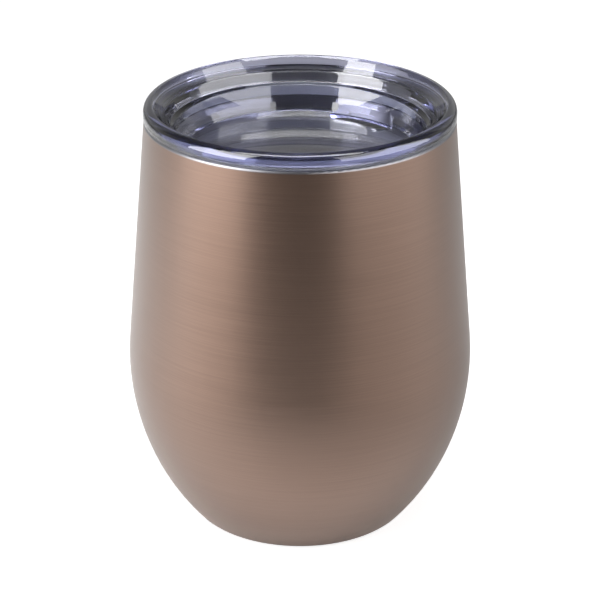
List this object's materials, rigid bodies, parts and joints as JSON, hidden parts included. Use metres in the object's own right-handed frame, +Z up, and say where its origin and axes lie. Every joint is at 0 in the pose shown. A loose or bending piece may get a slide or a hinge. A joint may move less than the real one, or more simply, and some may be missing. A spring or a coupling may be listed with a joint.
{
  "type": "insulated tumbler with lid",
  "caption": "Stemless vacuum-insulated steel tumbler with a rounded belly, a copper-coloured brushed finish and a clear press-in lid that has a sip slot and a silicone seal.",
  "frame": {"origin": "centre of the foot, on the surface it stands on", "axes": "+Z up along the turning axis; the middle of the sip slot lies 53 degrees from +X towards +Y"},
  "size_m": [0.086, 0.086, 0.1077],
  "materials": {
    "copper_lacquer": "satin, brushed around the axis under a translucent copper lacquer",
    "satin_steel": "bare stainless steel, finely brushed and electropolished",
    "plain_steel": "bare pressed stainless steel, hidden in the vacuum space",
    "solder_glass": "fused dark green bead",
    "getter_alloy": "matt sintered alloy",
    "copper_foil": "bright thin copper foil",
    "clear_plastic": "clear moulded plastic with a faint blue-violet tint",
    "silicone": "translucent food-grade silicone"
  },
  "bodies": {
    "cup": {"outer_shell": "copper_lacquer", "outer_bottom": "satin_steel", "middle_bottom": "plain_steel", "port_seal": "solder_glass", "getter_clip": "plain_steel", "getter_pellet": "getter_alloy", "foil_wrap": "copper_foil", "inner_liner": "satin_steel", "inner_bottom": "satin_steel"},
    "seal": {"lid_gasket": "silicone"},
    "lid": {"lid_body": "clear_plastic"}
  },
  "joints": [
    {"name": "lid_lift", "type": "slide", "parent": "cup", "child": "seal", "axis": [0, 0, 1], "range_m": [0, 0.06]},
    {"name": "lid_turn", "type": "hinge", "parent": "seal", "child": "lid", "pos_m": [0, 0, 0.1], "axis": [0, 0, 1], "continuous": true}
  ]
}
